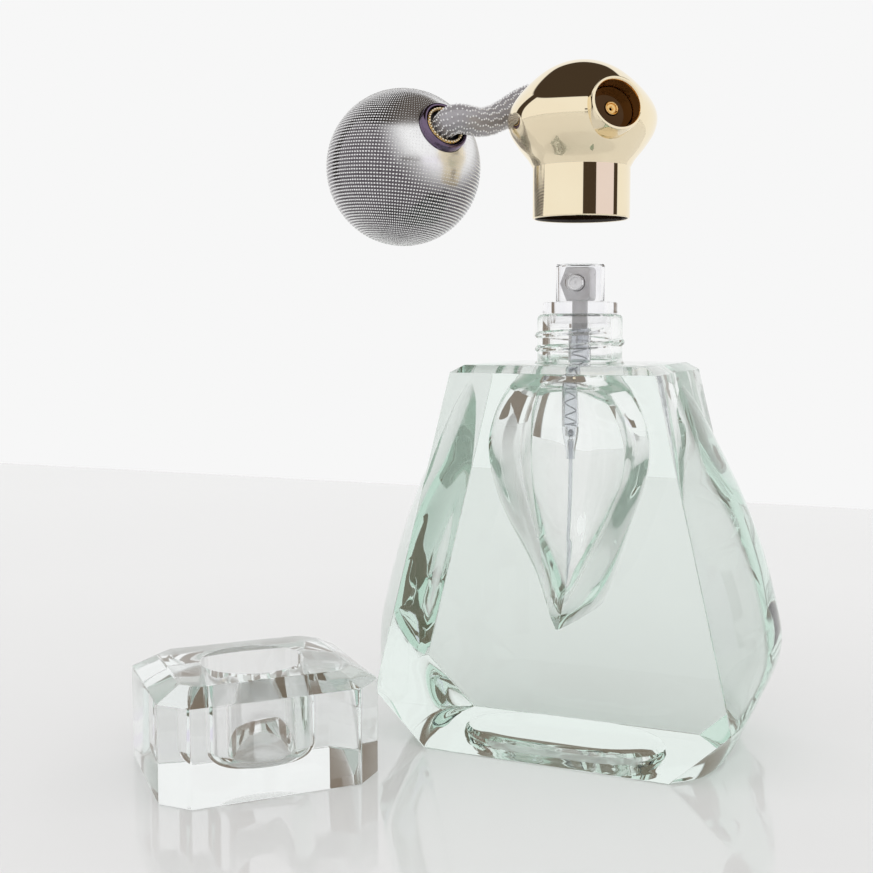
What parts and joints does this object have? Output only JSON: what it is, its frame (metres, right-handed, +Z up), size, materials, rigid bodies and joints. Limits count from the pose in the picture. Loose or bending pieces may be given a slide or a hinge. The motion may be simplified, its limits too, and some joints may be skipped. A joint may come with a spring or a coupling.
{
  "type": "perfume atomiser",
  "caption": "Bulb perfume atomiser lifted apart: solid faceted glass bottle with spray pump, polished head with nozzle, hose and mesh-covered squeeze bulb, and a chamfered glass cap.",
  "frame": {"origin": "middle of the whole set's footprint, on the floor that the bottle and the cap stand on", "axes": "+Z up along the bottle's neck, the bottle's flat front face looks along -Y, the bulb is at -X"},
  "size_m": [0.1268, 0.0978, 0.1487],
  "materials": {
    "crystal_glass": "polished, pale green",
    "clear_plastic": "clear moulded",
    "grey_plastic": "pale grey moulded",
    "gold_metal": "mirror polished pale gold plate",
    "spring_steel": "bright drawn wire",
    "silver_mesh": "woven silver yarn",
    "dark_metal": "polished dark plum anodised",
    "black_rubber": "matte",
    "black_plastic": "moulded"
  },
  "bodies": {
    "bottle": {"glass_bottle": "crystal_glass", "neck_gasket": "black_rubber", "pump_collar": "clear_plastic", "pump_housing": "clear_plastic", "pump_spring": "spring_steel", "dip_tube": "clear_plastic"},
    "ball": {"check_ball": "spring_steel"},
    "button": {"pump_piston": "clear_plastic", "pump_stem": "grey_plastic", "actuator_shell": "clear_plastic", "actuator_core": "grey_plastic", "actuator_nozzle": "grey_plastic"},
    "head": {"head_shell": "gold_metal", "head_core": "black_plastic", "nozzle_barrel": "gold_metal", "nozzle_disc": "dark_metal", "nozzle_jet": "gold_metal", "hose_ferrule": "gold_metal", "air_tube_head_half": "black_rubber", "braid_head_half": "silver_mesh"},
    "bulb": {"air_tube_bulb_half": "black_rubber", "braid_bulb_half": "silver_mesh", "bulb_collar": "dark_metal", "bulb_beaded_ring": "gold_metal", "bulb_bladder": "black_rubber", "bulb_mesh": "silver_mesh"},
    "valve": {"intake_valve": "dark_metal"},
    "cap": {"glass_cap": "crystal_glass"}
  },
  "joints": [
    {"name": "head_lift", "type": "slide", "parent": "bottle", "child": "head", "axis": [0, 0, 1], "range_m": [-0.0313, 0]},
    {"name": "button_press", "type": "slide", "parent": "bottle", "child": "button", "axis": [0, 0, -1], "range_m": [0, 0.0035], "stiffness_N_per_m": 600, "springref_m": -0.002, "deforming": ["pump_spring"]},
    {"name": "check_ball_lift", "type": "slide", "parent": "bottle", "child": "ball", "axis": [0, 0, 1], "range_m": [0, 0.0006]},
    {"name": "bulb_swing", "type": "hinge", "parent": "head", "child": "bulb", "pos_m": [-0.0029, 0.0246, 0.1374], "axis": [0, 1, 0], "range_deg": [-20, 20], "stiffness_Nm_per_rad": 0.06, "springref_deg": 3.15},
    {"name": "bulb_squeeze", "type": "slide", "parent": "bulb", "child": "valve", "axis": [0.7758, -0.4779, 0.4119], "range_m": [0, 0.009], "stiffness_N_per_m": 300, "springref_m": -0.001, "deforming": ["bulb_bladder", "bulb_mesh"]},
    {"name": "cap_lift", "type": "slide", "parent": "bottle", "child": "cap", "axis": [0, 0, 1], "range_m": [0, 0.06]}
  ]
}
